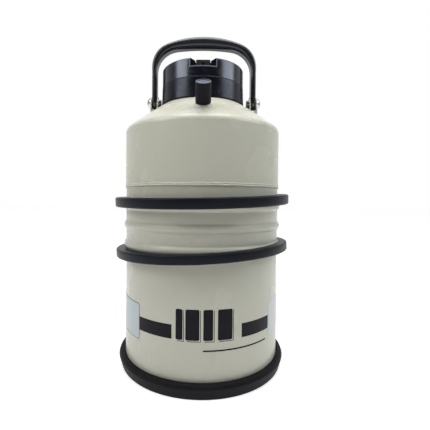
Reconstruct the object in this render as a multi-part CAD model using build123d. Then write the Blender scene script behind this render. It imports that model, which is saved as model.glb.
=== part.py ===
from build123d import *
import math
import os

# Liquid nitrogen dewar of the ten-litre class, standing upright on its rubber foot.
# Millimetres. +Z is up, the front faces -Y, and the origin is the middle of the foot's underside.

# Outer barrel: rolled aluminium sheet with three rolled beads under the girth seam
BARREL_R = 145.0
SHEET = 2.0
BARREL_HEIGHT = 320.0
BEAD_COUNT = 3
BEAD_DROP = 32.5
BEAD_PITCH = 35.0
BEAD_HEIGHT = 19.0
BEAD_PROUD = 3.6
BEAD_ROOT_R = 5.0

# Shoulder: drawn cone with a slight crown and a flat neck seat, a little wider than the barrel
SHOULDER_STEP = 1.0
SHOULDER_SIDE = 101.3
SHOULDER_KNUCKLE_R = 12.1
SHOULDER_KNUCKLE_TURN = 52.3
SHOULDER_CROWN_R = 1000.0
NECK_SEAT_R = 68.0
SEAM_BEAD_R = 1.6
WELD_TOUCH = 0.02

# Bottom dish, pressed into the barrel with its dome upwards
DISH_FLANGE = 12.0
DISH_KNUCKLE_R = 14.0
DISH_CROWN_R = 700.0

# Rubber foot ring
FOOT_FLOOR = 7.0
FOOT_HEIGHT = 23.7
FOOT_BOTTOM_OUT = 6.3
FOOT_TOP_OUT = 11.6
FOOT_LEDGE = 18.0
FOOT_WAIST_DROP = 5.5
FOOT_ROUND = 2.2

# Rubber bumper rings, pushed on over the beads and not quite level
RING_HEIGHT_UPPER = 17.3
RING_HEIGHT_LOWER = 15.6
RING_DEPTH_UPPER = 20.0
RING_DEPTH_LOWER = 18.0
RING_LIFT_UPPER = 10.4
RING_DROP_LOWER = 10.1
RING_TILT_UPPER = (1.6, 1.5)
RING_TILT_LOWER = (-0.9, 2.9)
RING_ROUND = 2.6
RING_GAP = 0.25

# Inner vessel, blanket and adsorbent tray
VACUUM_SIDE = 27.0
INNER_WALL = 1.5
INNER_LIFT = 55.0
INNER_OVER_GIRTH = 18.0
INNER_KNUCKLE_R = 30.0
INNER_CROWN_R = 180.0
INNER_STUB = 16.0
BLANKET = 8.0
BLANKET_GAP = 0.3
TRAY_R = 35.0
TRAY_DEPTH = 7.0

# Neck tube, flange, collar and gasket
NECK_BORE_R = 25.0
NECK_WALL = 2.5
BOND_GAP = 0.15
FLANGE_R = 34.0
FLANGE_BELOW = 5.0
FLANGE_CHAMFER = 1.0
COLLAR_R = 79.2
COLLAR_TAPER = 0.9
COLLAR_HEIGHT = 36.3
COLLAR_WALL = 3.8
GASKET_HEIGHT = 3.2
DECK_DROP = 8.5
DECK_THICK = 3.0
MOUNT_RING_WALL = 3.0
MOUNT_RING_HEIGHT = 15.0
COLLAR_SCREW_COUNT = 4
COLLAR_SCREW_ANGLE = 21.0
COLLAR_SCREW_Z = 11.5
COLLAR_SCREW_R = 2.0
COLLAR_SCREW_HEAD_R = 3.0
COLLAR_SCREW_POCKET = 2.0
COLLAR_SCREW_SHY = 0.7
SCREW_GAP = 0.1

# Lid cap, neck plug and the padlock lug
SEAM_GAP = 0.6
CAP_STEP = 1.2
CAP_HEIGHT = 33.0
CAP_WALL = 3.0
CAP_EDGE_R = 3.0
CAP_BOSS_R = 9.0
PLUG_SIDE_GAP = 2.0
PLUG_LENGTH = 110.0
PLUG_CHAMFER = 3.0
PLUG_HEAD_R = 32.0
PLUG_HEAD_THICK = 6.0
PLUG_HEAD_ROUND = 1.5
PLUG_SCREW_R = 2.4
PLUG_SCREW_HEAD_R = 5.0
PLUG_SCREW_LENGTH = 24.0
SEAT_GAP = 0.3
LUG_WIDTH = 25.0
LUG_THICK = 3.0
LUG_INSET = 6.0
LUG_HEIGHT = 39.0
LUG_FOOT = 14.0
LUG_CORNER_R = 1.5
LUG_HOLE_R = 3.2
LUG_HOLE_DROP = 7.7
LUG_SCREW_R = 2.0
LUG_SCREW_SPACING = 14.0
RECESS_WIDTH = 45.0
RECESS_HEIGHT = 15.0
RECESS_DEPTH = 26.0
RECESS_STEP = 5.5
RECESS_WALL = 2.5
RECESS_SLOPE = 5.5
RECESS_BORDER = 1.9
RECESS_BORDER_PROUD = 0.7
LUG_GAP = 0.8

# Evacuation port on the front of the shoulder
PORT_FOOT_R = 113.0
PORT_TILT = 36.0
PORT_BORE_R = 7.8
PORT_WALL = 2.8
PORT_RISE = 30.8
PORT_SUNK = 7.0
PORT_WELD_R = 15.5
PORT_WELD_HEIGHT = 4.5
PORT_PLUG_LENGTH = 19.0
PORT_PLUG_HEAD = 2.4
ORING_R = 1.1
ORING_GAP = 0.05
ORING_ROOM = 0.25
PORT_CAP_R = 12.7
PORT_CAP_LENGTH = 33.2
PORT_CAP_START = 4.0
PORT_CAP_TOP = 3.0
PORT_CAP_DISH = 0.9
PORT_CAP_RIM = 3.0
PORT_CAP_ROUND = 1.0
PORT_CAP_GAP = 0.3

# Carry handle: one moulded bail on two pivots
HANDLE_SHIFT = 2.2
PIVOT_RISE = 25.6
HANDLE_CLEAR = 11.7
STRAP_THICK = 9.3
STRAP_END_R = 12.4
OUTER_BEND_R = 46.0
INNER_BEND_R = 44.0
GRIP_RISE = 128.0
GRIP_THICK = 22.4
GRIP_CROWN = 11.5
GRIP_ARCH = 2.0
GRIP_ROUND = 9.2
STRAP_ROUND = 3.4
EYE_ROUND = 3.0
BEND_STATIONS = 6
LEG_LEAD = 10.0

# Clevis brackets and pivot fasteners
BRACKET_WALL = 2.0
BRACKET_LENGTH = 30.0
BRACKET_TOP_R = 11.8
STRAP_GAP = 0.5
BOLT_R = 4.0
BOLT_HEAD_R = 11.5
BOLT_HEAD = 8.0
BOLT_EXTRA = 0.3
PIVOT_FIT = 0.08
WASHER_R = 8.0
WASHER_THICK = 1.0
NUT_FLATS = 13.0
NUT_THICK = 4.5
NUT_CHAMFER = 1.0

# Levels and radii that follow from the driving dimensions
FOOT_Z = FOOT_FLOOR
GIRTH_Z = FOOT_FLOOR + BARREL_HEIGHT
SHOULDER_R = BARREL_R + SHOULDER_STEP
SIDE_TOP_Z = GIRTH_Z + SHOULDER_SIDE
INNER_R = BARREL_R - SHEET - VACUUM_SIDE
INNER_FLOOR_Z = FOOT_FLOOR + INNER_LIFT
INNER_TOP_Z = GIRTH_Z + INNER_OVER_GIRTH
STRAP_OUTER_X = COLLAR_R + HANDLE_CLEAR + STRAP_THICK
CAP_R = COLLAR_R - CAP_STEP
LUG_FACE_Y = LUG_INSET - CAP_R
BEAD_Z = [GIRTH_Z - BEAD_DROP - BEAD_PITCH * index for index in range(BEAD_COUNT)]
NECK_R = NECK_BORE_R + NECK_WALL


def head_centres(side_r, knuckle_r, turn, crown_r):
    """Centres of the knuckle arc and the crown arc of a dished head whose straight side ends at z = 0."""
    knuckle_x = side_r - knuckle_r
    reach = crown_r - knuckle_r
    crown_x = knuckle_x - reach * math.cos(math.radians(turn))
    crown_z = -reach * math.sin(math.radians(turn))
    return knuckle_x, crown_x, crown_z


def smooth_turn(side_r, knuckle_r, crown_r):
    """Turn of the knuckle that puts the crown's centre on the axis."""
    return math.degrees(math.acos((side_r - knuckle_r) / (crown_r - knuckle_r)))


def head_solid(side_r, knuckle_r, turn, crown_r, inset=0.0):
    """Solid dished head on z = 0, with its skin moved inwards by inset."""
    knuckle_x, crown_x, crown_z = head_centres(side_r, knuckle_r, turn, crown_r)
    radius = crown_r - inset
    end = math.degrees(math.acos(-crown_x / radius))
    apex = crown_z + radius * math.sin(math.radians(end))
    outline = [
        Line((0, 0), (side_r - inset, 0)),
        CenterArc((knuckle_x, 0), knuckle_r - inset, 0, turn),
        CenterArc((crown_x, crown_z), radius, turn, end - turn),
        Line((0, apex), (0, 0)),
    ]
    return revolve(Plane.XZ * make_face(outline), Axis.Z)


def tube(outer_r, inner_r, low, high):
    """Plain ring about Z between two levels."""
    height = high - low
    ring = Cylinder(outer_r, height) - Cylinder(inner_r, height)
    return Pos(0, 0, (low + high) / 2) * ring


def rod(radius, low, high):
    """Plain cylinder about Z between two levels."""
    return Pos(0, 0, (low + high) / 2) * Cylinder(radius, high - low)


def turned(points):
    """Solid of revolution about Z from an outline of (radius, height) points."""
    return revolve(Plane.XZ * make_face(Polyline(*points, close=True)), Axis.Z)


def box_between(low, high):
    """Box from its lowest corner to its highest corner."""
    size = [b - a for a, b in zip(low, high)]
    middle = [(a + b) / 2 for a, b in zip(low, high)]
    return Pos(*middle) * Box(*size)


def shoulder_level(radius):
    """Height of the shoulder's outer skin at a radius on its crown."""
    _, crown_x, crown_z = head_centres(
        SHOULDER_R, SHOULDER_KNUCKLE_R, SHOULDER_KNUCKLE_TURN, SHOULDER_CROWN_R
    )
    return SIDE_TOP_Z + crown_z + math.sqrt(SHOULDER_CROWN_R**2 - (radius - crown_x) ** 2)


def bead_arcs(middle, inset):
    """Three tangent arcs that carry the wall out over one rolled bead and back."""
    half = BEAD_HEIGHT / 2
    turn = 2 * math.degrees(math.atan(BEAD_PROUD / half))
    crest_r = half / math.sin(math.radians(turn)) - BEAD_ROOT_R
    root_x = BARREL_R + BEAD_ROOT_R
    crest_x = BARREL_R + BEAD_PROUD - crest_r
    return [
        CenterArc((root_x, middle - half), BEAD_ROOT_R + inset, 180, -turn),
        CenterArc((crest_x, middle), crest_r - inset, -turn, 2 * turn),
        CenterArc((root_x, middle + half), BEAD_ROOT_R + inset, 180 + turn, -turn),
    ]


def barrel_solid(inset=0.0):
    """The barrel as a solid body, with its skin moved inwards by inset."""
    wall_x = BARREL_R - inset
    outline = [Line((0, FOOT_Z), (wall_x, FOOT_Z))]
    level = FOOT_Z
    for middle in reversed(BEAD_Z):
        outline.append(Line((wall_x, level), (wall_x, middle - BEAD_HEIGHT / 2)))
        outline += bead_arcs(middle, inset)
        level = middle + BEAD_HEIGHT / 2
    outline.append(Line((wall_x, level), (wall_x, GIRTH_Z)))
    outline.append(Line((wall_x, GIRTH_Z), (0, GIRTH_Z)))
    outline.append(Line((0, GIRTH_Z), (0, FOOT_Z)))
    return revolve(Plane.XZ * make_face(outline), Axis.Z)


def shoulder_solid(inset=0.0):
    """The shoulder as a solid body, with its skin moved inwards by inset."""
    side = rod(SHOULDER_R - inset, GIRTH_Z, SIDE_TOP_Z)
    head = head_solid(SHOULDER_R, SHOULDER_KNUCKLE_R, SHOULDER_KNUCKLE_TURN, SHOULDER_CROWN_R, inset)
    below_seat = rod(2 * SHOULDER_R, SIDE_TOP_Z, NECK_SEAT_Z - inset)
    return side + (Pos(0, 0, SIDE_TOP_Z) * head & below_seat)


def inner_solid(inset=0.0):
    """The inner vessel as a solid body, with its skin moved inwards by inset."""
    turn = smooth_turn(INNER_R, INNER_KNUCKLE_R, INNER_CROWN_R)
    head = head_solid(INNER_R, INNER_KNUCKLE_R, turn, INNER_CROWN_R, inset)
    _, _, crown_z = head_centres(INNER_R, INNER_KNUCKLE_R, turn, INNER_CROWN_R)
    rise = crown_z + INNER_CROWN_R
    low = INNER_FLOOR_Z + rise
    high = INNER_TOP_Z - rise
    top = Pos(0, 0, high) * head
    bottom = Pos(0, 0, low) * mirror(head, Plane.XY)
    return top + rod(INNER_R - inset, low, high) + bottom


PORT_PLANE = Plane(
    origin=(0, -PORT_FOOT_R, shoulder_level(PORT_FOOT_R)),
    x_dir=(1, 0, 0),
    z_dir=(0, -math.sin(math.radians(PORT_TILT)), math.cos(math.radians(PORT_TILT))),
)
NECK_SEAT_Z = shoulder_level(NECK_SEAT_R)
COLLAR_FOOT_Z = shoulder_level(COLLAR_R)
COLLAR_TOP_Z = COLLAR_FOOT_Z + COLLAR_HEIGHT
DECK_Z = COLLAR_TOP_Z - DECK_DROP
CAP_FOOT_Z = COLLAR_TOP_Z + SEAM_GAP
CAP_TOP_Z = CAP_FOOT_Z + CAP_HEIGHT
RECESS_Z = CAP_TOP_Z - RECESS_HEIGHT
PLUG_TOP_Z = DECK_Z + SEAT_GAP
HEAD_TOP_Z = PLUG_TOP_Z + PLUG_HEAD_THICK
MOUNT_RING_R = COLLAR_R - COLLAR_WALL - SEAT_GAP
PORT_BOSS_R = PORT_BORE_R + PORT_WALL
PIVOT_Z = shoulder_level(STRAP_OUTER_X) + PIVOT_RISE
GRIP_TOP_Z = PIVOT_Z + GRIP_RISE


def make_outer_barrel():
    return barrel_solid() - barrel_solid(SHEET)


def make_shoulder_shell():
    shell = shoulder_solid() - shoulder_solid(SHEET)
    seam = Pos(0, 0, GIRTH_Z + SEAM_BEAD_R) * Torus(SHOULDER_R - SEAM_BEAD_R / 2, SEAM_BEAD_R)
    seam -= rod(SHOULDER_R - SHEET, GIRTH_Z - SEAM_BEAD_R, GIRTH_Z + 3 * SEAM_BEAD_R)
    shell += seam
    neck_hole = rod(FLANGE_R + BOND_GAP, SIDE_TOP_Z, CAP_TOP_Z)
    port_hole = PORT_PLANE * Cylinder(PORT_BOSS_R + BOND_GAP, 4 * PORT_SUNK)
    return shell - neck_hole - port_hole


def make_bottom_dish():
    radius = BARREL_R - SHEET - BOND_GAP
    turn = smooth_turn(radius, DISH_KNUCKLE_R, DISH_CROWN_R)
    crown = head_solid(radius, DISH_KNUCKLE_R, turn, DISH_CROWN_R)
    hollow = head_solid(radius, DISH_KNUCKLE_R, turn, DISH_CROWN_R, SHEET)
    flange_top = FOOT_Z + DISH_FLANGE
    return Pos(0, 0, flange_top) * (crown - hollow) + tube(radius, radius - SHEET, FOOT_Z, flange_top)


def make_base_ring():
    seat_r = BARREL_R + BOND_GAP
    inner_r = BARREL_R - FOOT_LEDGE
    top_r = BARREL_R + FOOT_TOP_OUT
    outline = [
        (inner_r, 0),
        (BARREL_R + FOOT_BOTTOM_OUT, 0),
        (top_r, FOOT_HEIGHT - FOOT_WAIST_DROP),
        (top_r - FOOT_ROUND, FOOT_HEIGHT),
        (seat_r + FOOT_ROUND, FOOT_HEIGHT + FOOT_ROUND / 2),
        (seat_r, FOOT_HEIGHT),
        (seat_r, FOOT_FLOOR - BOND_GAP),
        (inner_r, FOOT_FLOOR - BOND_GAP),
    ]
    section = make_face(Polyline(*outline, close=True))
    for corner in outline[1:5]:
        section = fillet(section.vertices().sort_by_distance((*corner, 0))[0], FOOT_ROUND)
    return revolve(Plane.XZ * section, Axis.Z)


def make_bumper_ring(depth, height, middle, tilt):
    section = Rectangle(depth + SHEET, height, align=(Align.MAX, Align.CENTER))
    section = Pos(BARREL_R + depth, 0) * fillet(section.vertices().group_by(Axis.X)[-1], RING_ROUND)
    ring = revolve(Plane.XZ * section, Axis.Z)
    forward, sideways = tilt
    ring = Pos(0, 0, middle) * Rot(forward, -sideways, 0) * ring
    return ring - barrel_solid(-RING_GAP)


def make_inner_vessel():
    stub_r = NECK_R + BOND_GAP
    stub = tube(stub_r + INNER_WALL, stub_r, INNER_TOP_Z - 3 * INNER_WALL, INNER_TOP_Z + INNER_STUB)
    shell = inner_solid() - inner_solid(INNER_WALL)
    return shell + stub - rod(stub_r, INNER_TOP_Z - 3 * INNER_WALL - INNER_STUB, INNER_TOP_Z + INNER_STUB)


def make_insulation_blanket():
    blanket = inner_solid(-BLANKET_GAP - BLANKET) - inner_solid(-BLANKET_GAP)
    neck_hole = NECK_R + BOND_GAP + INNER_WALL + BLANKET_GAP
    blanket -= rod(neck_hole, INNER_TOP_Z - INNER_STUB, INNER_TOP_Z + 2 * BLANKET)
    return blanket - rod(TRAY_R + BLANKET_GAP, INNER_FLOOR_Z - 2 * BLANKET, INNER_FLOOR_Z + BLANKET)


def make_adsorbent_tray():
    tray = rod(TRAY_R, INNER_FLOOR_Z - TRAY_DEPTH, INNER_FLOOR_Z + TRAY_DEPTH)
    return tray - inner_solid(-BLANKET_GAP)


def make_neck_tube():
    return tube(NECK_R, NECK_BORE_R, INNER_TOP_Z - INNER_WALL, DECK_Z - SEAT_GAP)


def make_neck_flange():
    foot = NECK_SEAT_Z - FLANGE_BELOW
    flange = tube(FLANGE_R, NECK_R + BOND_GAP, foot, DECK_Z)
    return chamfer(flange.edges().group_by(Axis.Z)[-1].sort_by(SortBy.LENGTH)[-1], FLANGE_CHAMFER)


def make_collar_gasket():
    inner_r = COLLAR_R - COLLAR_WALL
    top = COLLAR_FOOT_Z + GASKET_HEIGHT
    return tube(COLLAR_R, inner_r, COLLAR_FOOT_Z, top) - shoulder_solid(-WELD_TOUCH)


def collar_screw_places():
    """One frame for each radial screw, with its Z axis pointing outwards."""
    for index in range(COLLAR_SCREW_COUNT):
        turn = COLLAR_SCREW_ANGLE - 90 + 360 * index / COLLAR_SCREW_COUNT
        yield Rot(0, 0, turn) * Pos(0, 0, COLLAR_FOOT_Z + COLLAR_SCREW_Z) * Rot(0, 90, 0)


def make_neck_collar():
    foot = COLLAR_FOOT_Z + GASKET_HEIGHT
    bore = COLLAR_R - COLLAR_WALL
    top_r = COLLAR_R - COLLAR_TAPER
    body = turned([(0, foot), (COLLAR_R, foot), (top_r, COLLAR_TOP_Z), (0, COLLAR_TOP_Z)])
    body = fillet(body.edges().group_by(Axis.Z)[-1], SEAM_GAP)
    body -= rod(bore, foot, DECK_Z - DECK_THICK)
    body -= rod(top_r - COLLAR_WALL, DECK_Z, COLLAR_TOP_Z)
    body -= rod(FLANGE_R + BOND_GAP, DECK_Z - DECK_THICK, DECK_Z)
    for place in collar_screw_places():
        body -= place * rod(COLLAR_SCREW_R + SCREW_GAP, MOUNT_RING_R, COLLAR_R)
        body -= place * rod(COLLAR_SCREW_HEAD_R + SCREW_GAP, COLLAR_R - COLLAR_SCREW_POCKET, COLLAR_R)
    for hole in lug_screw_places():
        body -= hole * rod(LUG_SCREW_R + SCREW_GAP, -DECK_THICK, 0)
    return body


def make_collar_mount_ring():
    inner_r = MOUNT_RING_R - MOUNT_RING_WALL
    ring = tube(MOUNT_RING_R, inner_r, COLLAR_FOOT_Z, COLLAR_FOOT_Z + MOUNT_RING_HEIGHT)
    ring -= shoulder_solid(-WELD_TOUCH)
    for place in collar_screw_places():
        ring -= place * rod(COLLAR_SCREW_R + SCREW_GAP, inner_r - MOUNT_RING_WALL, COLLAR_R)
    return ring


def make_collar_screws():
    seat = COLLAR_R - COLLAR_SCREW_POCKET + SCREW_GAP
    shank = rod(COLLAR_SCREW_R, MOUNT_RING_R - MOUNT_RING_WALL, seat)
    head = rod(COLLAR_SCREW_HEAD_R, seat, COLLAR_R - COLLAR_SCREW_SHY)
    socket = rod(COLLAR_SCREW_R / 2, seat, COLLAR_R)
    screw = shank + head - socket
    return Compound(children=[place * screw for place in collar_screw_places()])


def lug_screw_places():
    """Frames of the two screws that hold the lug's foot, on the collar's deck."""
    middle_y = LUG_FACE_Y + LUG_THICK + LUG_FOOT / 2
    return [Pos(side * LUG_SCREW_SPACING / 2, middle_y, DECK_Z) for side in (-1, 1)]


def make_lock_lug():
    half = LUG_WIDTH / 2
    top = DECK_Z + LUG_HEIGHT
    back = LUG_FACE_Y + LUG_THICK
    blade = box_between((-half, LUG_FACE_Y, DECK_Z), (half, back, top))
    blade = fillet(blade.edges().filter_by(Axis.Y).group_by(Axis.Z)[-1], LUG_CORNER_R)
    foot = box_between((-half, LUG_FACE_Y, DECK_Z), (half, back + LUG_FOOT, DECK_Z + LUG_THICK))
    lug = blade + foot
    hole = Rot(90, 0, 0) * Cylinder(LUG_HOLE_R, 4 * LUG_THICK)
    lug -= Pos(0, LUG_FACE_Y, top - LUG_HOLE_DROP) * hole
    for place in lug_screw_places():
        lug -= place * rod(LUG_SCREW_R + SCREW_GAP, 0, LUG_THICK)
    return lug


def make_lug_screws():
    screws = []
    for place in lug_screw_places():
        head = rod(2 * LUG_SCREW_R, LUG_THICK, LUG_THICK + LUG_SCREW_R)
        head = fillet(head.edges().group_by(Axis.Z)[-1], LUG_SCREW_R / 2)
        screws.append(place * (head + rod(LUG_SCREW_R, -DECK_THICK, LUG_THICK)))
    return Compound(children=screws)


def make_lid_cap():
    body = rod(CAP_R, CAP_FOOT_Z, CAP_TOP_Z)
    body = fillet(body.edges().group_by(Axis.Z)[-1], CAP_EDGE_R)
    body = fillet(body.edges().group_by(Axis.Z)[0], SEAM_GAP)
    body -= rod(CAP_R - CAP_WALL, CAP_FOOT_Z, CAP_TOP_Z - CAP_WALL)
    body += rod(CAP_BOSS_R, HEAD_TOP_Z, CAP_TOP_Z - CAP_WALL)
    half = RECESS_WIDTH / 2
    channel = LUG_WIDTH / 2 + LUG_GAP
    back = RECESS_DEPTH - CAP_R
    floor = RECESS_Z - RECESS_WALL
    over = CAP_TOP_Z + CAP_WALL
    front = -CAP_R - CAP_WALL
    liner = box_between(
        (-half - RECESS_WALL, -CAP_R, floor),
        (half + RECESS_WALL, back + RECESS_WALL, CAP_TOP_Z - CAP_WALL),
    )
    body += liner & rod(CAP_R - CAP_WALL / 2, floor, CAP_TOP_Z)
    border_low = RECESS_Z - RECESS_BORDER
    border = box_between(
        (-half - RECESS_BORDER, front, border_low),
        (half + RECESS_BORDER, 0, CAP_TOP_Z - CAP_EDGE_R),
    )
    body += border & tube(CAP_R + RECESS_BORDER_PROUD, CAP_R - CAP_WALL / 2, border_low, over)
    body -= box_between((-half, front, RECESS_Z), (half, RECESS_STEP - CAP_R, over))
    body -= box_between((-channel, front, RECESS_Z), (channel, back, over))
    for side in (-1, 1):
        slope = Polyline(
            (side * half, CAP_TOP_Z), (side * channel, CAP_TOP_Z - RECESS_SLOPE), (side * channel, over),
            (side * half, over), close=True,
        )
        wedge = extrude(Plane.XZ * make_face(slope), RECESS_DEPTH, dir=(0, -1, 0))
        body -= Pos(0, back, 0) * wedge
    slot_back = LUG_FACE_Y + LUG_THICK + LUG_GAP
    body -= box_between((-channel, LUG_FACE_Y - LUG_GAP, floor), (channel, slot_back, RECESS_Z))
    return body - rod(PLUG_SCREW_R + SCREW_GAP, HEAD_TOP_Z, HEAD_TOP_Z + PLUG_SCREW_LENGTH)


def make_plug_head():
    head = rod(PLUG_HEAD_R, PLUG_TOP_Z, HEAD_TOP_Z)
    head = fillet(head.edges().group_by(Axis.Z)[-1], PLUG_HEAD_ROUND)
    head -= rod(PLUG_SCREW_R + SCREW_GAP, PLUG_TOP_Z, HEAD_TOP_Z)
    return head - rod(PLUG_SCREW_HEAD_R + SCREW_GAP, PLUG_TOP_Z, PLUG_TOP_Z + PLUG_HEAD_THICK / 2)


def make_plug_screw():
    head = rod(PLUG_SCREW_HEAD_R, PLUG_TOP_Z + SCREW_GAP, PLUG_TOP_Z + PLUG_HEAD_THICK / 2)
    tip = HEAD_TOP_Z + PLUG_SCREW_LENGTH - 2 * PLUG_SCREW_R
    return head + rod(PLUG_SCREW_R, PLUG_TOP_Z + SCREW_GAP, tip)


def make_lid_plug():
    plug = rod(NECK_BORE_R - PLUG_SIDE_GAP, PLUG_TOP_Z - PLUG_LENGTH, PLUG_TOP_Z)
    return chamfer(plug.edges().group_by(Axis.Z)[0], PLUG_CHAMFER)


def make_port_boss():
    pipe = PORT_PLANE * tube(PORT_BOSS_R, PORT_BORE_R, -PORT_SUNK, PORT_RISE)
    weld = PORT_PLANE * turned([
        (PORT_BOSS_R - PORT_WALL / 2, -PORT_SUNK), (PORT_WELD_R, -PORT_SUNK), (PORT_WELD_R, 0),
        (PORT_BOSS_R, PORT_WELD_HEIGHT), (PORT_BOSS_R - PORT_WALL / 2, PORT_WELD_HEIGHT),
    ])
    return pipe + (weld - shoulder_solid(-WELD_TOUCH))


def make_port_plug():
    body = rod(PORT_BORE_R - SCREW_GAP, PORT_RISE - PORT_PLUG_LENGTH, PORT_RISE)
    half = ORING_R + ORING_ROOM
    groove = tube(PORT_BORE_R, PORT_BORE_R - 2 * ORING_R - SCREW_GAP, -half, half)
    body -= Pos(0, 0, PORT_RISE - PORT_PLUG_LENGTH / 2) * groove
    return PORT_PLANE * (body + rod(PORT_BOSS_R - SCREW_GAP, PORT_RISE, PORT_RISE + PORT_PLUG_HEAD))


def make_port_oring():
    ring = Torus(PORT_BORE_R - ORING_R - ORING_GAP, ORING_R)
    return PORT_PLANE * Pos(0, 0, PORT_RISE - PORT_PLUG_LENGTH / 2) * ring


def make_port_cap():
    low = PORT_CAP_START
    high = PORT_CAP_START + PORT_CAP_LENGTH
    cap = rod(PORT_CAP_R, low, high)
    cap = fillet(cap.edges().group_by(Axis.Z)[-1], PORT_CAP_ROUND)
    cap -= rod(PORT_BOSS_R + PORT_CAP_GAP, low, high - PORT_CAP_TOP)
    cap -= rod(PORT_CAP_R - PORT_CAP_RIM, high - PORT_CAP_DISH, high)
    weld_room = turned([
        (0, 0), (PORT_WELD_R + PORT_CAP_GAP, 0), (PORT_WELD_R + PORT_CAP_GAP, PORT_CAP_GAP),
        (PORT_BOSS_R, PORT_WELD_HEIGHT + 2 * PORT_CAP_GAP), (0, PORT_WELD_HEIGHT + 2 * PORT_CAP_GAP),
    ])
    return PORT_PLANE * (cap - weld_room) - shoulder_solid(-PORT_CAP_GAP)


def ray_length(origin, turn, centre, radius):
    """Distance from origin, along a ray at an angle, to the far side of a circle."""
    along = (centre[0] - origin[0]) * math.cos(turn) + (centre[1] - origin[1]) * math.sin(turn)
    gap = (centre[0] - origin[0]) ** 2 + (centre[1] - origin[1]) ** 2 - along**2
    return along + math.sqrt(radius**2 - gap)


def along_ray(origin, turn, length):
    """Point at a distance from origin along a ray at an angle."""
    return origin[0] + length * math.cos(turn), origin[1] + length * math.sin(turn)


def handle_stations():
    """Outer and inner points of the bail's outline, from the right leg's top to the middle of the grip."""
    bend_x = STRAP_OUTER_X - OUTER_BEND_R
    grip_low = GRIP_TOP_Z - GRIP_THICK
    origin = (STRAP_OUTER_X - STRAP_THICK - INNER_BEND_R, grip_low - GRIP_ARCH - INNER_BEND_R)
    drop = GRIP_CROWN + OUTER_BEND_R
    bend_z = GRIP_TOP_Z - drop
    crown_r = (bend_x**2 + drop**2 - OUTER_BEND_R**2) / (2 * GRIP_CROWN)
    crown_z = GRIP_TOP_Z - crown_r
    junction = math.atan2(bend_z - crown_z, bend_x)
    leg_top = origin[1] - LEG_LEAD
    stations = [((STRAP_OUTER_X, leg_top), (STRAP_OUTER_X - STRAP_THICK, leg_top))]
    for index in range(BEND_STATIONS + 1):
        turn = math.pi / 2 * index / BEND_STATIONS
        met = along_ray(origin, turn, ray_length(origin, turn, (bend_x, bend_z), OUTER_BEND_R))
        if turn < math.pi / 4:
            straight = (STRAP_OUTER_X - origin[0]) / math.cos(turn)
            side = along_ray(origin, turn, straight)
            met = side if side[1] < bend_z else met
        elif math.atan2(met[1] - bend_z, met[0] - bend_x) > junction:
            met = along_ray(origin, turn, ray_length(origin, turn, (0, crown_z), crown_r))
        stations.append((met, along_ray(origin, turn, INNER_BEND_R)))
    for share in (0.5, 0.0):
        x = origin[0] * share
        outer_z = crown_z + math.sqrt(crown_r**2 - x**2)
        stations.append(((x, outer_z), (x, grip_low - GRIP_ARCH * share**2)))
    return stations


def handle_section(outer, inner):
    """Rounded section of the bail between an outer and an inner outline point."""
    across = (outer[0] - inner[0], outer[1] - inner[1])
    thick = math.hypot(*across)
    share = (thick - STRAP_THICK) / (GRIP_THICK - STRAP_THICK)
    rounding = STRAP_ROUND + (GRIP_ROUND - STRAP_ROUND) * max(0.0, min(1.0, share))
    middle = ((outer[0] + inner[0]) / 2, 0, (outer[1] + inner[1]) / 2)
    place = Plane(origin=middle, x_dir=(0, 1, 0), z_dir=(across[1], 0, -across[0]))
    return place * RectangleRounded(2 * STRAP_END_R, thick, rounding)


def make_carry_handle():
    right = handle_stations()
    left = [((-outer[0], outer[1]), (-inner[0], inner[1])) for outer, inner in right[:-1]]
    handle = loft([handle_section(*pair) for pair in left + right[::-1]])
    leg_length = right[0][0][1] - PIVOT_Z
    for side in (-1, 1):
        eye = Rot(0, 90, 0) * Cylinder(STRAP_END_R, STRAP_THICK)
        eye = fillet(eye.edges(), EYE_ROUND)
        middle_x = side * (STRAP_OUTER_X - STRAP_THICK / 2)
        leg = extrude(RectangleRounded(STRAP_THICK, 2 * STRAP_END_R, STRAP_ROUND), leg_length)
        handle += Pos(middle_x, 0, PIVOT_Z) * (leg + eye)
        hole = Rot(0, 90, 0) * Cylinder(BOLT_R + PIVOT_FIT, 2 * STRAP_THICK)
        handle -= Pos(middle_x, 0, PIVOT_Z) * hole
    return Pos(HANDLE_SHIFT, 0, 0) * handle


def pivot_frame(side):
    """Frame at a pivot, with Z along the pivot axis and pointing outwards."""
    return Plane(origin=(HANDLE_SHIFT, 0, PIVOT_Z), x_dir=(0, 0, 1), z_dir=(side, 0, 0))


def make_bracket(side):
    """Clevis of bent sheet: two walls beside the strap and a web that follows the dome."""
    inner_x = STRAP_OUTER_X - STRAP_THICK - STRAP_GAP - BRACKET_WALL
    outer_x = STRAP_OUTER_X + STRAP_GAP + BRACKET_WALL
    drop = 2 * BRACKET_LENGTH
    outline = (
        Circle(BRACKET_TOP_R)
        + Pos(-drop / 2, 0) * Rectangle(drop, 2 * BRACKET_TOP_R)
        + make_face(Polyline(
            (0, -BRACKET_TOP_R), (-STRAP_END_R, -BRACKET_LENGTH / 2), (-drop, -BRACKET_LENGTH / 2),
            (-drop, BRACKET_LENGTH / 2), (-STRAP_END_R, BRACKET_LENGTH / 2), (0, BRACKET_TOP_R), close=True,
        ))
    )
    frame = pivot_frame(side)
    block = frame * Pos(0, 0, inner_x) * extrude(outline, outer_x - inner_x)
    gap_low = inner_x + BRACKET_WALL
    gap_width = outer_x - BRACKET_WALL - gap_low
    gap = frame * Pos(0, 0, gap_low) * extrude(Rectangle(4 * drop, 2 * BRACKET_LENGTH), gap_width)
    walls = block - gap
    web = (block & gap) & shoulder_solid(-BRACKET_WALL)
    bracket = walls + web - shoulder_solid(-WELD_TOUCH)
    hole = frame * rod(BOLT_R + PIVOT_FIT, inner_x - BRACKET_WALL, outer_x + BRACKET_WALL)
    return bracket - hole


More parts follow.
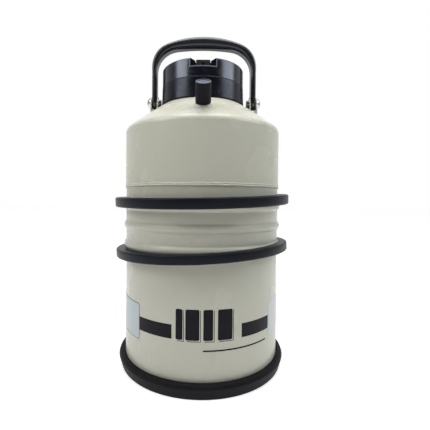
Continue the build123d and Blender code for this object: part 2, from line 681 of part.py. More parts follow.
def make_pivot_bolt(side):
    seat = STRAP_OUTER_X + STRAP_GAP + BRACKET_WALL
    inner_face = STRAP_OUTER_X - STRAP_THICK - STRAP_GAP - BRACKET_WALL
    ball_r = (BOLT_HEAD_R**2 + BOLT_HEAD**2) / (2 * BOLT_HEAD)
    ball = Pos(0, 0, seat + BOLT_HEAD - ball_r) * Sphere(ball_r)
    head = ball & rod(BOLT_HEAD_R, seat, seat + BOLT_HEAD)
    shank = rod(BOLT_R, inner_face - WASHER_THICK - NUT_THICK - BOLT_EXTRA, seat)
    return pivot_frame(side) * (head + shank)


def make_pivot_washer(side):
    face = STRAP_OUTER_X - STRAP_THICK - STRAP_GAP - BRACKET_WALL
    return pivot_frame(side) * tube(WASHER_R, BOLT_R + SCREW_GAP, face - WASHER_THICK, face)


def make_pivot_nut(side):
    face = STRAP_OUTER_X - STRAP_THICK - STRAP_GAP - BRACKET_WALL - WASHER_THICK
    hexagon = RegularPolygon(NUT_FLATS / 2, 6, major_radius=False) - Circle(BOLT_R + SCREW_GAP)
    end = face - NUT_THICK
    nut = Pos(0, 0, end) * extrude(hexagon, NUT_THICK)
    corner_r = NUT_FLATS / 2 / math.cos(math.radians(30))
    flat_r = NUT_FLATS / 2
    cone = turned([(0, end), (flat_r, end), (corner_r, end + NUT_CHAMFER), (corner_r, face), (0, face)])
    return pivot_frame(side) * (nut & cone)


PARTS = {
    "outer_barrel": make_outer_barrel(),
    "shoulder_shell": make_shoulder_shell(),
    "bottom_dish": make_bottom_dish(),
    "base_ring": make_base_ring(),
    "upper_bumper_ring": make_bumper_ring(
        RING_DEPTH_UPPER, RING_HEIGHT_UPPER, BEAD_Z[0] + RING_LIFT_UPPER, RING_TILT_UPPER
    ),
    "lower_bumper_ring": make_bumper_ring(
        RING_DEPTH_LOWER, RING_HEIGHT_LOWER, BEAD_Z[-1] - RING_DROP_LOWER, RING_TILT_LOWER
    ),
    "inner_vessel": make_inner_vessel(),
    "insulation_blanket": make_insulation_blanket(),
    "adsorbent_tray": make_adsorbent_tray(),
    "neck_tube": make_neck_tube(),
    "neck_flange": make_neck_flange(),
    "collar_gasket": make_collar_gasket(),
    "neck_collar": make_neck_collar(),
    "collar_mount_ring": make_collar_mount_ring(),
    "collar_screws": make_collar_screws(),
    "lock_lug": make_lock_lug(),
    "lug_screws": make_lug_screws(),
    "lid_cap": make_lid_cap(),
    "plug_head": make_plug_head(),
    "plug_screw": make_plug_screw(),
    "lid_plug": make_lid_plug(),
    "port_boss": make_port_boss(),
    "port_plug": make_port_plug(),
    "port_oring": make_port_oring(),
    "port_cap": make_port_cap(),
    "carry_handle": make_carry_handle(),
}
for name, side in (("left", -1), ("right", 1)):
    PARTS[f"bracket_{name}"] = make_bracket(side)
    PARTS[f"pivot_bolt_{name}"] = make_pivot_bolt(side)
    PARTS[f"pivot_washer_{name}"] = make_pivot_washer(side)
    PARTS[f"pivot_nut_{name}"] = make_pivot_nut(side)

os.makedirs("parts", exist_ok=True)
for name, shape in PARTS.items():
    export_step(shape, f"parts/{name}.step")
    size = shape.bounding_box().size
    print(name, round(shape.volume), round(size.X, 1), round(size.Y, 1), round(size.Z, 1))
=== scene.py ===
# %% [markdown]
# # A liquid nitrogen dewar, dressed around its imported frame
#
# The vessel is a welded aluminium can with cream enamel, two rubber bumper rings, a rubber foot,
# a black two-piece lid and a moulded carry handle. Its solids come packed from the CAD source.
# This lesson gives every solid its finish, makes the pieces that a solid can't show well, and
# lights the whole. Everything is in metres. Up is +Z, and the front faces -Y.

# %% The frame
import math
import bpy
import bmesh
from mathutils import Matrix, Vector


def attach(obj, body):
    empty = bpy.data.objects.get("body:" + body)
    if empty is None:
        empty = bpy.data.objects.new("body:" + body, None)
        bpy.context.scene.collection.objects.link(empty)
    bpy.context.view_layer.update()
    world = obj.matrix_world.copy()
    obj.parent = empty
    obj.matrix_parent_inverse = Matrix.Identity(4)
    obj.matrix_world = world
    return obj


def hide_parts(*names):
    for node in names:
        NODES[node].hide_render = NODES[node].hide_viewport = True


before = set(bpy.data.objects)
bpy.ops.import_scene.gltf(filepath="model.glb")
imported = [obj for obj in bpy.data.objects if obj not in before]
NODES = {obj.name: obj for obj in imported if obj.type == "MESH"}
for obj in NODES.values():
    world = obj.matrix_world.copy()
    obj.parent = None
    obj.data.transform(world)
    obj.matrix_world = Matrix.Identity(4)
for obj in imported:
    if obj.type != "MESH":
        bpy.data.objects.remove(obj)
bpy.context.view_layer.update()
print("pieces in the frame:", len(NODES))

# %% [markdown]
# The picture was taken from the height of the shoulder, a little over half a metre away, so the
# foot is seen from above and the lid from below. A camera can be turned by eye or set from a fit.
# Here the fit of the rings' ellipses gives its place, its pitch and a slight roll, and the lens
# shift puts the object where the picture has it.

# %% The camera
CAMERA_PLACE = (-0.00434, -0.6355, 0.3061)
CAMERA_PITCH = 0.0174
CAMERA_ROLL = 0.0085
SENSOR = 36.0
PICTURE_SIDE = 430.0
FOCAL_PIXELS = 321.7
MIDDLE_PIXEL = (199.55, 205.0)

camera = bpy.data.objects.new("camera", bpy.data.cameras.new("camera"))
bpy.context.collection.objects.link(camera)
camera.matrix_world = (
    Matrix.Translation(CAMERA_PLACE)
    @ Matrix.Rotation(math.pi / 2 - CAMERA_PITCH, 4, "X")
    @ Matrix.Rotation(CAMERA_ROLL, 4, "Z")
)
camera.data.sensor_width = SENSOR
camera.data.lens = SENSOR * FOCAL_PIXELS / PICTURE_SIDE
camera.data.shift_x = 0.5 - MIDDLE_PIXEL[0] / PICTURE_SIDE
camera.data.shift_y = MIDDLE_PIXEL[1] / PICTURE_SIDE - 0.5
bpy.context.scene.camera = camera
print("lens in mm:", round(camera.data.lens, 2))

# %% [markdown]
# Every finish below is one recipe with other numbers: a colour that is mottled a little, a
# roughness that wanders, and a fine grain in the bump. Painted textures could do this too, but
# noise on Object coordinates needs no unwrapping, has the right scale in metres, and runs on
# across neighbouring pieces. The first one is the enamel of the can: cream, glossy, and with the
# slight orange peel of sprayed paint.

# %% One recipe for a finish, and the enamel
MOTTLE_FROM, MOTTLE_TO = 0.3, 0.7
MOTTLE_DETAIL, GRAIN_DETAIL = 4.0, 2.0
BUMP_STRENGTH = 0.6


def add_node(tree, kind, **values):
    """Adds a node and sets the inputs that are named, with _ for a space."""
    node = tree.nodes.new(kind)
    for name, value in values.items():
        node.inputs[name.replace("_", " ")].default_value = value
    return node


def finish(name, colour, roughness, mottle=0.08, mottle_scale=14.0, spread=0.06, grain=600.0,
           depth=0.00005, **fixed):
    """A procedural material. fixed holds plain values for the shader's own sockets."""
    material = bpy.data.materials.new(name)
    material.use_nodes = True
    tree = material.node_tree
    shader = tree.nodes["Principled BSDF"]
    for socket, value in fixed.items():
        shader.inputs[socket.replace("_", " ")].default_value = value
    place = tree.nodes.new("ShaderNodeTexCoord").outputs["Object"]
    cloud = add_node(tree, "ShaderNodeTexNoise", Scale=mottle_scale, Detail=MOTTLE_DETAIL)
    tints = tree.nodes.new("ShaderNodeValToRGB")
    ends = zip(tints.color_ramp.elements, (MOTTLE_FROM, MOTTLE_TO), (1 - mottle, 1 + mottle))
    for end, position, share in ends:
        end.position = position
        end.color = [c * share for c in colour] + [1.0]
    gloss = add_node(tree, "ShaderNodeMapRange", To_Min=roughness - spread,
                     To_Max=roughness + spread)
    fine = add_node(tree, "ShaderNodeTexNoise", Scale=grain, Detail=GRAIN_DETAIL)
    bump = add_node(tree, "ShaderNodeBump", Strength=BUMP_STRENGTH, Distance=depth)
    tree.links.new(place, cloud.inputs["Vector"])
    tree.links.new(place, fine.inputs["Vector"])
    tree.links.new(cloud.outputs["Fac"], tints.inputs["Fac"])
    tree.links.new(cloud.outputs["Fac"], gloss.inputs["Value"])
    tree.links.new(tints.outputs["Color"], shader.inputs["Base Color"])
    tree.links.new(gloss.outputs["Result"], shader.inputs["Roughness"])
    tree.links.new(fine.outputs["Fac"], bump.inputs["Height"])
    tree.links.new(bump.outputs["Normal"], shader.inputs["Normal"])
    return material


cream = finish("cream_enamel", (0.625, 0.615, 0.505), 0.27, mottle=0.03, mottle_scale=7.0,
               spread=0.05, grain=160.0, Specular_IOR_Level=0.34)
print("first finish:", cream.name)

# %% [markdown]
# The black pieces are almost the same black, and only their gloss tells them apart: dull rubber
# at the foot, smoother rubber on the rings, a wiped and smeared plastic on the lid, and a smooth
# handle. So the base colours stay near each other, and the roughness, its spread and the specular
# level do the work.

# %% The black pieces
rubber = finish("black_rubber", (0.009, 0.009, 0.011), 0.58, mottle=0.3, mottle_scale=30.0,
                grain=900.0, depth=0.00012, Specular_IOR_Level=0.10)
ring_rubber = finish("ring_rubber", (0.008, 0.009, 0.012), 0.40, mottle=0.3, mottle_scale=24.0,
                     grain=900.0, depth=0.0001, Specular_IOR_Level=0.14,
                     Specular_Tint=(0.80, 0.88, 1.0, 1.0))
lid_black = finish("lid_plastic", (0.005, 0.005, 0.009), 0.24, mottle=0.3, mottle_scale=42.0,
                   spread=0.14, grain=300.0, depth=0.00003, Specular_IOR_Level=0.95,
                   Specular_Tint=(0.84, 0.90, 1.0, 1.0))
collar_black = finish("collar_plastic", (0.005, 0.005, 0.008), 0.28, mottle=0.3, mottle_scale=42.0,
                      spread=0.14, grain=300.0, depth=0.00003, Specular_IOR_Level=0.40,
                      Specular_Tint=(0.80, 0.86, 1.0, 1.0))
cap_black = finish("cap_plastic", (0.006, 0.006, 0.008), 0.36, mottle=0.2, grain=700.0,
                   depth=0.00004, Specular_IOR_Level=0.10)
handle_black = finish("handle_plastic", (0.008, 0.007, 0.009), 0.33, mottle=0.2, grain=800.0,
                      depth=0.00006, Specular_IOR_Level=0.75, Specular_Tint=(0.88, 0.93, 1.0, 1.0))
lug_black = finish("lug_black", (0.01, 0.01, 0.012), 0.45, mottle=0.2, grain=700.0)
print("finishes so far:", len(bpy.data.materials))

# %% [markdown]
# Two spots of the black plastic are painted paler: a painted highlight on the raised border of the
# padlock recess, and a painted reflection of the light from above on the top of the port's cap.
# Each could be a face set with its own material, but the imported meshes are left alone. A rule
# finds the spots instead. The border is all of the lid that stands proud of the lid's radius, and
# the top is what faces along the port's axis.

# %% The paler spots
CAP_R = 0.078
BORDER_PROUD = 0.00015
# The pale colour of the recess border is a painted highlight along its raised rim.
BORDER_HIGHLIGHT_COLOUR = (0.19, 0.19, 0.26, 1.0)
PORT_TILT = math.radians(36.0)
PORT_AXIS = (0.0, -math.sin(PORT_TILT), math.cos(PORT_TILT))
FACING_TOP = 0.93
# The blue-grey on the top of the port's cap is a painted reflection of the light from above.
TOP_REFLECTION_COLOUR = (0.13, 0.155, 0.20, 1.0)


def vector_math(tree, operation, first, second=(0.0, 0.0, 0.0)):
    """A Vector Math node on a socket and a fixed vector."""
    node = tree.nodes.new("ShaderNodeVectorMath")
    node.operation = operation
    node.inputs[1].default_value = second
    tree.links.new(first, node.inputs[0])
    return node.outputs


def tint(material, measured, least, colour):
    """Gives a material another colour where a measured value is larger than least."""
    tree = material.node_tree
    paint = tree.nodes["Principled BSDF"].inputs["Base Color"]
    larger_than = tree.nodes.new("ShaderNodeMath")
    larger_than.operation = "GREATER_THAN"
    larger_than.inputs[1].default_value = least
    mix = tree.nodes.new("ShaderNodeMix")
    mix.data_type = "RGBA"
    mix.inputs["B"].default_value = colour
    tree.links.new(measured, larger_than.inputs[0])
    tree.links.new(larger_than.outputs[0], mix.inputs["Factor"])
    tree.links.new(paint.links[0].from_socket, mix.inputs["A"])
    tree.links.new(mix.outputs["Result"], paint)


tree = lid_black.node_tree
place = tree.nodes.new("ShaderNodeTexCoord").outputs["Object"]
flat = vector_math(tree, "MULTIPLY", place, (1.0, 1.0, 0.0))
radius = vector_math(tree, "LENGTH", flat[0])["Value"]
# Paints the highlight on the recess border into the lid's colour.
tint(lid_black, radius, CAP_R + BORDER_PROUD, BORDER_HIGHLIGHT_COLOUR)
tree = cap_black.node_tree
normal = tree.nodes.new("ShaderNodeTexCoord").outputs["Normal"]
along_axis = vector_math(tree, "DOT_PRODUCT", normal, PORT_AXIS)["Value"]
# Paints the reflection of the light from above on the faces that look along the port's axis.
tint(cap_black, along_axis, FACING_TOP, TOP_REFLECTION_COLOUR)
print("tinted:", lid_black.name, "and", cap_black.name)

# %% [markdown]
# The bolts are bright zinc, and the inside is plain: bare aluminium, a glass-fibre neck, a foam
# plug and a crinkled foil blanket. Most of it is never seen, yet it is finished from the same
# recipe, because the lid and the port's cap come off.

# %% The metals and the inside
zinc = finish("zinc_steel", (0.62, 0.62, 0.60), 0.30, mottle=0.12, mottle_scale=220.0, grain=900.0,
              Metallic=1.0)
aluminium = finish("bare_aluminium", (0.66, 0.67, 0.68), 0.42, mottle=0.06, grain=500.0,
                   Metallic=1.0)
laminate = finish("glass_fibre_laminate", (0.33, 0.36, 0.16), 0.35, mottle=0.2, mottle_scale=260.0,
                  grain=700.0)
foam = finish("plug_foam", (0.74, 0.73, 0.69), 0.85, mottle=0.05, mottle_scale=160.0, grain=420.0,
              depth=0.0003)
foil = finish("foil_blanket", (0.75, 0.76, 0.78), 0.24, mottle=0.1, mottle_scale=60.0, grain=140.0,
              depth=0.0008, Metallic=1.0)
print("finishes:", len(bpy.data.materials))

# %% [markdown]
# A solid that already has the right shape keeps its mesh and only gets its finish. The packed
# record says which finish each one has, but the names here are written out, so that this table
# reads as the parts list.

# %% Dress the solids
DRESS = {
    cream: ["outer_barrel", "shoulder_shell", "bracket_left", "bracket_right", "port_boss"],
    rubber: ["base_ring", "collar_gasket", "port_oring"],
    ring_rubber: ["upper_bumper_ring", "lower_bumper_ring"],
    lid_black: ["lid_cap"],
    collar_black: ["neck_collar"],
    cap_black: ["port_cap", "plug_head"],
    handle_black: ["carry_handle"],
    lug_black: ["lock_lug", "collar_screws"],
    zinc: ["pivot_bolt_left", "pivot_bolt_right", "pivot_nut_left", "pivot_nut_right",
           "pivot_washer_left", "pivot_washer_right", "lug_screws", "plug_screw", "port_plug"],
    aluminium: ["bottom_dish", "inner_vessel", "adsorbent_tray", "neck_flange",
                "collar_mount_ring"],
    laminate: ["neck_tube"],
    foam: ["lid_plug"],
    foil: ["insulation_blanket"],
}
for material, names in DRESS.items():
    for name in names:
        NODES[name].data.materials.clear()
        NODES[name].data.materials.append(material)
print("dressed:", sum(len(names) for names in DRESS.values()), "of", len(NODES))

# %% [markdown]
# Two things follow a rule: the bumper rings and the weld of the girth seam. Geometry Nodes can
# say a rule with named inputs, so these helpers build a tree, run it once, and keep the result as
# a plain mesh. Nothing is left to run when the piece moves with its body.

# %% Helpers for trees
def start_tree(name, **inputs):
    """A Geometry Nodes tree with named number inputs, and the sockets that give them."""
    group = bpy.data.node_groups.new(name, "GeometryNodeTree")
    group.interface.new_socket("Geometry", in_out="INPUT", socket_type="NodeSocketGeometry")
    for label, value in inputs.items():
        kind = "NodeSocketInt" if isinstance(value, int) else "NodeSocketFloat"
        group.interface.new_socket(label, in_out="INPUT", socket_type=kind).default_value = value
    group.interface.new_socket("Geometry", in_out="OUTPUT", socket_type="NodeSocketGeometry")
    return group, group.nodes.new("NodeGroupInput").outputs


def feed(group, slots, values):
    """Gives each slot its value, which is a socket or a number."""
    for slot, value in zip(slots, values):
        if isinstance(value, (int, float)):
            slot.default_value = value
        else:
            group.links.new(value, slot)


def calculate(group, operation, *values):
    """A Math node."""
    node = group.nodes.new("ShaderNodeMath")
    node.operation = operation
    feed(group, node.inputs, values)
    return node.outputs[0]


def vector(group, x=0.0, y=0.0, z=0.0):
    """A Combine XYZ node."""
    node = group.nodes.new("ShaderNodeCombineXYZ")
    feed(group, node.inputs, (x, y, z))
    return node.outputs[0]


def end_tree(group, geometry, material):
    """Closes a tree with smooth shading, real geometry and its material."""
    smooth = group.nodes.new("GeometryNodeSetShadeSmooth")
    real = group.nodes.new("GeometryNodeRealizeInstances")
    paint = group.nodes.new("GeometryNodeSetMaterial")
    paint.inputs["Material"].default_value = material
    out = group.nodes.new("NodeGroupOutput")
    group.links.new(geometry, smooth.inputs[0])
    group.links.new(smooth.outputs[0], real.inputs[0])
    group.links.new(real.outputs[0], paint.inputs[0])
    group.links.new(paint.outputs[0], out.inputs[0])


def grow(name, group, body, **sizes):
    """Runs a tree once, and keeps what it makes as a plain closed mesh on a body."""
    piece = bpy.data.objects.new(name, bpy.data.meshes.new(name))
    bpy.context.collection.objects.link(piece)
    modifier = piece.modifiers.new("tree", "NODES")
    modifier.node_group = group
    for item in group.interface.items_tree:
        if item.in_out == "INPUT" and item.name in sizes:
            modifier[item.identifier] = sizes[item.name]
    grown = piece.evaluated_get(bpy.context.evaluated_depsgraph_get())
    made = bpy.data.meshes.new_from_object(grown)
    piece.modifiers.remove(modifier)
    shape = bmesh.new()
    shape.from_mesh(made)
    bmesh.ops.recalc_face_normals(shape, faces=shape.faces)
    shape.to_mesh(made)
    shape.free()
    piece.data = made
    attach(piece, body)
    print(name, "faces:", len(made.polygons))
    return piece


print("tree helpers are ready")

# %% [markdown]
# The bumper rings are rubber hoops pushed on by hand, so they lie a little out of level and wave
# a little. A hoop could be a torus that is squashed by eye. Here it is a rounded profile that
# follows a waved circle and is then tilted, so one tree makes both rings from their own sizes.

# %% The tree of a rubber hoop
HOOP_POINTS = 240
HOOP_CORNER_POINTS = 5
WAVES_ROUND = 2.0

hoop, size = start_tree("rubber_hoop", Radius=0.155, Level=0.3, Depth=0.022, Height=0.017,
                        Round=0.003, Forward=0.0, Sideways=0.0, Wave=0.0, Phase=0.0)
circle = hoop.nodes.new("GeometryNodeCurvePrimitiveCircle")
circle.inputs["Resolution"].default_value = HOOP_POINTS
upright = hoop.nodes.new("GeometryNodeSetCurveNormal")
upright.mode = "Z_UP"
spot = hoop.nodes.new("ShaderNodeSeparateXYZ")
hoop.links.new(hoop.nodes.new("GeometryNodeInputPosition").outputs[0], spot.inputs[0])
angle = calculate(hoop, "ARCTAN2", spot.outputs["Y"], spot.outputs["X"])
turned = calculate(hoop, "ADD", calculate(hoop, "MULTIPLY", angle, WAVES_ROUND), size["Phase"])
wave = calculate(hoop, "MULTIPLY", calculate(hoop, "SINE", turned), size["Wave"])
waved = hoop.nodes.new("GeometryNodeSetPosition")
profile = hoop.nodes.new("GeometryNodeCurvePrimitiveQuadrilateral")
rounded = hoop.nodes.new("GeometryNodeFilletCurve")
rounded.mode = "POLY"
rounded.inputs["Count"].default_value = HOOP_CORNER_POINTS
sweep = hoop.nodes.new("GeometryNodeCurveToMesh")
placed = hoop.nodes.new("GeometryNodeTransform")
for source, target in (
    (size["Radius"], circle.inputs["Radius"]),
    (circle.outputs["Curve"], upright.inputs["Curve"]),
    (upright.outputs["Curve"], waved.inputs["Geometry"]),
    (vector(hoop, z=wave), waved.inputs["Offset"]),
    (size["Depth"], profile.inputs["Width"]),
    (size["Height"], profile.inputs["Height"]),
    (profile.outputs[0], rounded.inputs["Curve"]),
    (size["Round"], rounded.inputs["Radius"]),
    (waved.outputs[0], sweep.inputs["Curve"]),
    (rounded.outputs[0], sweep.inputs["Profile Curve"]),
    (sweep.outputs[0], placed.inputs["Geometry"]),
    (vector(hoop, size["Forward"], size["Sideways"]), placed.inputs["Rotation"]),
    (vector(hoop, z=size["Level"]), placed.inputs["Translation"]),
):
    hoop.links.new(source, target)
end_tree(hoop, placed.outputs["Geometry"], ring_rubber)
print("nodes in the hoop's tree:", len(hoop.nodes))

# %% [markdown]
# The lower ring is tilted sideways by almost three degrees, down on the left, and the upper one by
# half as much. Each ring reaches a little into the can's wall, which hides its inner edge, and
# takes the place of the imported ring.

# %% The two bumper rings
BARREL_R = 0.145
RING_SUNK = 0.0016
RING_ROUND = 0.0030
for name, depth, height, level, forward, sideways, wave_height, phase in (
    ("upper", 0.020, 0.0173, 0.3049, 1.6, -1.5, 0.0005, 1.1),
    ("lower", 0.018, 0.0156, 0.2144, -0.9, -2.9, 0.0004, 2.6),
):
    ring = grow(f"bumper_ring_{name}", hoop, "vessel", Radius=BARREL_R + (depth - RING_SUNK) / 2,
                Level=level, Depth=depth + RING_SUNK, Height=height, Round=RING_ROUND,
                Forward=math.radians(forward), Sideways=math.radians(sideways),
                Wave=wave_height, Phase=phase)
    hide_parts(f"{name}_bumper_ring")

# %% [markdown]
# The shoulder is welded to the barrel by hand, and the paint covers the weld. A hand weld is a
# row of overlapping drops that wanders a little. It could be a bump map, but the ridge shows in
# the outline of the seam, so here drops are set on the points of a circle, each a little
# different, with a fixed seed.

# %% The painted girth weld
WELD_R = 0.1459
WELD_LEVEL = 0.3312
WANDER_SCALE = 16.0
NOISE_MIDDLE = 0.5
DROP_SEGMENTS, DROP_RINGS = 10, 6

weld, size = start_tree("hand_weld", Radius=WELD_R, Level=WELD_LEVEL, Drops=230, Wander=0.0016,
                        Seed=7, Thick=0.0007, Long=0.0034, High=0.0016, Least=0.8, Most=1.2)
path = weld.nodes.new("GeometryNodeMeshCircle")
position = weld.nodes.new("GeometryNodeInputPosition").outputs[0]
spot = weld.nodes.new("ShaderNodeSeparateXYZ")
drift = weld.nodes.new("ShaderNodeTexNoise")
drift.inputs["Scale"].default_value = WANDER_SCALE
off_middle = calculate(weld, "SUBTRACT", drift.outputs[0], NOISE_MIDDLE)
sway = calculate(weld, "MULTIPLY", off_middle, size["Wander"])
wandered = weld.nodes.new("GeometryNodeSetPosition")
drop = weld.nodes.new("GeometryNodeMeshUVSphere")
feed(weld, drop.inputs, (DROP_SEGMENTS, DROP_RINGS, 1.0))
varied = weld.nodes.new("FunctionNodeRandomValue")
height = calculate(weld, "MULTIPLY", varied.outputs[1], size["High"])
along = calculate(weld, "ARCTAN2", spot.outputs["Y"], spot.outputs["X"])
beads = weld.nodes.new("GeometryNodeInstanceOnPoints")
for source, target in (
    (size["Drops"], path.inputs["Vertices"]),
    (size["Radius"], path.inputs["Radius"]),
    (position, spot.inputs[0]),
    (position, drift.inputs["Vector"]),
    (path.outputs[0], wandered.inputs["Geometry"]),
    (vector(weld, z=calculate(weld, "ADD", sway, size["Level"])), wandered.inputs["Offset"]),
    (size["Least"], varied.inputs[2]),
    (size["Most"], varied.inputs[3]),
    (size["Seed"], varied.inputs["Seed"]),
    (wandered.outputs[0], beads.inputs["Points"]),
    (drop.outputs[0], beads.inputs["Instance"]),
    (vector(weld, z=along), beads.inputs["Rotation"]),
    (vector(weld, size["Thick"], size["Long"], height), beads.inputs["Scale"]),
):
    weld.links.new(source, target)
end_tree(weld, beads.outputs[0], cream)
grow("girth_weld", weld, "vessel", Radius=WELD_R, Level=WELD_LEVEL)

# %% [markdown]
# The print on the barrel is screen printed: a film of ink a tenth of a millimetre thick that
# follows the curve. It could be a mask in the paint's material, but a thin closed sheet has crisp
# edges at any distance and survives an export. Each field is a rounded rectangle wrapped on the
# barrel, cut in narrow columns.

# %% A field of print, and the bars
INK = 0.00012
COLUMN_WIDTH = 0.0012
FEWEST_COLUMNS = 8
MERGE = 1e-7


def wrapped_field(name, material, left, right, low, high, corner=0.0, lift=INK):
    """A closed sheet on the barrel, between two azimuths in degrees and between two heights."""
    half = math.radians(right - left) / 2 * BARREL_R
    middle = math.radians(left + right) / 2
    corner = min(corner, half, (high - low) / 2)
    columns = max(FEWEST_COLUMNS, int(2 * half / COLUMN_WIDTH))
    mesh = bmesh.new()
    strips = []
    for step in range(columns + 1):
        if corner:
            along = half * math.sin(math.pi * (step / columns - 0.5))
        else:
            along = half * (2 * step / columns - 1)
        into = max(0.0, abs(along) - (half - corner))
        cut = corner - math.sqrt(max(0.0, corner**2 - into**2)) if corner else 0.0
        turn = middle + along / BARREL_R
        strip = []
        for radius in (BARREL_R - INK, BARREL_R + lift):
            for level in (low + cut, high - cut):
                spot = (radius * math.sin(turn), -radius * math.cos(turn), level)
                strip.append(mesh.verts.new(spot))
        strips.append(strip)
    for one, two in zip(strips, strips[1:]):
        for a, b in ((2, 3), (3, 1), (1, 0), (0, 2)):
            mesh.faces.new((one[a], two[a], two[b], one[b]))
    for strip in (strips[0], strips[-1]):
        mesh.faces.new((strip[0], strip[1], strip[3], strip[2]))
    bmesh.ops.remove_doubles(mesh, verts=mesh.verts, dist=MERGE)
    bmesh.ops.recalc_face_normals(mesh, faces=mesh.faces)
    data = bpy.data.meshes.new(name)
    mesh.to_mesh(data)
    mesh.free()
    data.materials.append(material)
    piece = bpy.data.objects.new(name, data)
    bpy.context.collection.objects.link(piece)
    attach(piece, "vessel")


ink = finish("black_ink", (0.006, 0.006, 0.009), 0.45, mottle=0.15, grain=900.0, depth=0.00002,
             Specular_IOR_Level=0.12)
BAR_LOW, BAR_HIGH = 0.0885, 0.1108
for name, left, right, low, high in (
    ("print_bar_left", -45.0, -18.7, BAR_LOW, BAR_HIGH),
    ("print_bar_right", 26.2, 51.3, BAR_LOW, BAR_HIGH),
    ("print_rule", 1.0, 48.0, 0.0715, 0.0738),
):
    wrapped_field(name, ink, left, right, low, high)
print("bar height in mm:", round((BAR_HIGH - BAR_LOW) * 1000, 1))

# %% [markdown]
# Between the two bars stand four plain upright blocks. Each has a thin line a little to its right
# and below it, like a dropped shadow. That could be a whole second block behind the first, but
# two narrow fields draw only what shows of it, so no two sheets lie on each other.

# %% The blocks
BLOCKS = ((-16.0, -11.6), (-9.8, -1.2), (1.2, 7.2), (10.2, 19.6))
BLOCK_HIGH = 0.1365
BLOCK_CORNER = 0.0025
SHADOW_GAP = 0.0013
SHADOW_LINE = 0.0009
SHADOW_INSET = 1.0
for number, (left, right) in enumerate(BLOCKS):
    foot = BAR_LOW - SHADOW_GAP
    start = right + math.degrees(SHADOW_GAP / BARREL_R)
    stop = start + math.degrees(SHADOW_LINE / BARREL_R)
    wrapped_field(f"print_block_{number}", ink, left, right, BAR_LOW, BLOCK_HIGH,
                  corner=BLOCK_CORNER)
    wrapped_field(f"print_edge_{number}", ink, start, stop, foot, BLOCK_HIGH - SHADOW_GAP)
    wrapped_field(f"print_foot_{number}", ink, left + SHADOW_INSET, stop, foot - SHADOW_LINE, foot)
print("blocks:", len(BLOCKS))

# %% [markdown]
# A pale label with rounded corners is stuck on each side. Its thin frame line could be a narrow
# field that bends round the corners. Here it is a whole field in the line's colour, with a
# slightly smaller and thicker field on it.

# %% The side labels
label_white = finish("label_white", (0.62, 0.64, 0.62), 0.34, mottle=0.02, grain=500.0,
                     depth=0.00002)
label_blue = finish("label_blue", (0.50, 0.56, 0.57), 0.34, mottle=0.04, grain=500.0, depth=0.00002)
FRAME_LINE = 0.0009
inset = math.degrees(FRAME_LINE / BARREL_R)
for side, field, line, left, right, low, high, corner in (
    ("left", label_blue, ink, -97.0, -45.2, 0.0715, 0.132, 0.005),
    ("right", label_white, label_blue, 51.6, 97.0, 0.073, 0.135, 0.008),
):
    wrapped_field(f"label_frame_{side}", line, left, right, low, high, corner)
    wrapped_field(f"label_field_{side}", field, left + inset, right - inset, low + FRAME_LINE,
                  high - FRAME_LINE, corner - FRAME_LINE, lift=2 * INK)

# %% [markdown]
# The floor is pale, and glows only for rays that come from the camera or from gloss and glass. So
# it looks almost white while the object's shadow stays, and no extra light reaches the object.
# The glow grows with the distance, so that the floor meets the white background without a line.

# %% The floor
FLOOR_SIDE = 30.0
FLOOR_GREY = 0.80
GLOW_NEAR = 0.60
GLOW_FAR = 0.97
GLOW_REACH = 2.5
WHITE = (1.0, 1.0, 1.0, 1.0)


def larger(tree, *sockets):
    """The largest of some values."""
    best = sockets[0]
    for socket in sockets[1:]:
        pair = tree.nodes.new("ShaderNodeMath")
        pair.operation = "MAXIMUM"
        tree.links.new(best, pair.inputs[0])
        tree.links.new(socket, pair.inputs[1])
        best = pair.outputs[0]
    return best


def seen_directly(tree):
    """1 for rays from the camera, from gloss and through glass, and 0 for all others."""
    rays = tree.nodes.new("ShaderNodeLightPath").outputs
    return larger(tree, rays["Is Camera Ray"], rays["Is Glossy Ray"], rays["Is Transmission Ray"])


def mixed(tree, share, first, second):
    """One shader where share is 0 and the other where it is 1."""
    mix = tree.nodes.new("ShaderNodeMixShader")
    tree.links.new(share, mix.inputs["Fac"])
    tree.links.new(first.outputs[0], mix.inputs[1])
    tree.links.new(second.outputs[0], mix.inputs[2])
    return mix


floor_data = bpy.data.meshes.new("floor")
half_side = FLOOR_SIDE / 2
corners = [(x * half_side, y * half_side, 0) for x, y in ((-1, -1), (1, -1), (1, 1), (-1, 1))]
floor_data.from_pydata(corners, [], [(0, 1, 2, 3)])
floor = bpy.data.objects.new("floor", floor_data)
bpy.context.collection.objects.link(floor)
pale = bpy.data.materials.new("pale_floor")
pale.use_nodes = True
tree = pale.node_tree
tree.nodes.clear()
matt = add_node(tree, "ShaderNodeBsdfDiffuse", Color=(FLOOR_GREY, FLOOR_GREY, FLOOR_GREY, 1.0))
unlit = add_node(tree, "ShaderNodeEmission", Strength=0.0)
glow = add_node(tree, "ShaderNodeEmission", Color=WHITE)
place = tree.nodes.new("ShaderNodeTexCoord").outputs["Object"]
reach = vector_math(tree, "LENGTH", place)["Value"]
spread = add_node(tree, "ShaderNodeMapRange", From_Max=GLOW_REACH, To_Min=GLOW_NEAR,
                  To_Max=GLOW_FAR)
total = tree.nodes.new("ShaderNodeAddShader")
out = tree.nodes.new("ShaderNodeOutputMaterial")
tree.links.new(reach, spread.inputs["Value"])
tree.links.new(spread.outputs["Result"], glow.inputs["Strength"])
tree.links.new(matt.outputs[0], total.inputs[0])
tree.links.new(mixed(tree, seen_directly(tree), unlit, glow).outputs[0], total.inputs[1])
tree.links.new(total.outputs[0], out.inputs["Surface"])
floor_data.materials.append(pale)
print("floor side in m:", FLOOR_SIDE)

# %% [markdown]
# The background is white for the camera, and metal, gloss and glass mirror it. A real studio is
# dark behind the camera, and that dark is what makes the lid and the handle look black, so what
# is mirrored fades from white behind the object to dark in front of it. The light that reaches
# the object from the background is very weak, because the lamps light it.

# %% The background
FILL_FRONT = 0.0
FILL_BACK = 0.05
DARK_SIDE = 0.02
FADE_FROM, FADE_TO = -0.2, 0.95

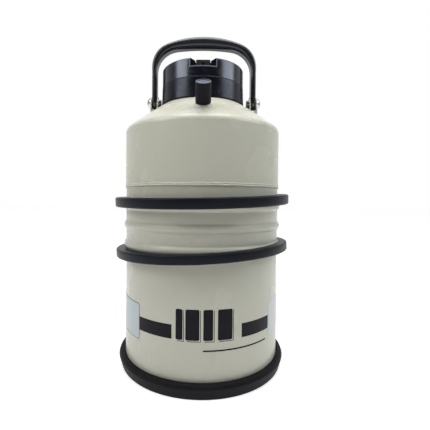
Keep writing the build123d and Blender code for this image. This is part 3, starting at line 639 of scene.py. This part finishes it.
world = bpy.data.worlds.new("studio")
bpy.context.scene.world = world
world.use_nodes = True
tree = world.node_tree
tree.nodes.clear()
axes = tree.nodes.new("ShaderNodeSeparateXYZ")
tree.links.new(tree.nodes.new("ShaderNodeTexCoord").outputs["Generated"], axes.inputs[0])
lit = add_node(tree, "ShaderNodeMapRange", From_Min=-1.0, From_Max=1.0, To_Min=FILL_FRONT,
               To_Max=FILL_BACK)
faded = add_node(tree, "ShaderNodeMapRange", From_Min=FADE_FROM, From_Max=FADE_TO, To_Min=DARK_SIDE,
                 To_Max=1.0)
fill = add_node(tree, "ShaderNodeBackground", Color=WHITE)
backdrop = add_node(tree, "ShaderNodeBackground", Color=WHITE)
rays = tree.nodes.new("ShaderNodeLightPath").outputs
for ramp in (lit, faded):
    tree.links.new(axes.outputs["Y"], ramp.inputs["Value"])
white = larger(tree, rays["Is Camera Ray"], rays["Is Transmission Ray"], faded.outputs["Result"])
out = tree.nodes.new("ShaderNodeOutputWorld")
tree.links.new(lit.outputs["Result"], fill.inputs["Strength"])
tree.links.new(white, backdrop.inputs["Strength"])
tree.links.new(mixed(tree, seen_directly(tree), fill, backdrop).outputs[0], out.inputs["Surface"])
print("world nodes:", len(tree.nodes))

# %% [markdown]
# Three soft boxes light the can: one overhead makes the shoulder bright, and one high up at each
# side leaves a pale stripe on the black lid. A cylinder mirrors what stands at twice the angle of
# the spot where it is seen, which fixes where each side box has to stand. The stripes are on the
# lid and not on the barrel below, so the boxes are high enough that only the lid, which the
# camera sees from below, mirrors them.

# %% The lamps
BOX_DISTANCE = 1.7
BOX_RISE = 34.0
AIM_HEIGHT = 0.45
TOP_PLACE = (0.0, -0.25, 2.2)


def around(azimuth):
    """A place for a side box, at an azimuth in degrees from the front, to the right if positive."""
    turn, rise = math.radians(azimuth), math.radians(BOX_RISE)
    away = BOX_DISTANCE * math.cos(rise)
    height = AIM_HEIGHT + BOX_DISTANCE * math.sin(rise)
    return away * math.sin(turn), -away * math.cos(turn), height


for name, place, width, height, power, colour in (
    ("box_top", TOP_PLACE, 1.5, 1.5, 37.0, (1.0, 1.0, 1.0)),
    ("box_left", around(-60.0), 0.9, 1.0, 13.5, (0.94, 0.96, 1.0)),
    ("box_right", around(73.0), 1.0, 1.0, 13.0, (0.90, 0.94, 1.0)),
):
    lamp = bpy.data.objects.new(name, bpy.data.lights.new(name, "AREA"))
    lamp.data.shape = "RECTANGLE"
    lamp.data.size = width
    lamp.data.size_y = height
    lamp.data.energy = power
    lamp.data.color = colour
    lamp.location = place
    sight = Vector((0.0, 0.0, AIM_HEIGHT)) - Vector(place)
    lamp.rotation_euler = sight.to_track_quat("-Z", "Y").to_euler()
    bpy.context.collection.objects.link(lamp)
print("lamps:", len(bpy.data.lights))

# %% [markdown]
# Last come the picture's own settings.

# %% Finish
bpy.context.scene.view_settings.view_transform = "Standard"
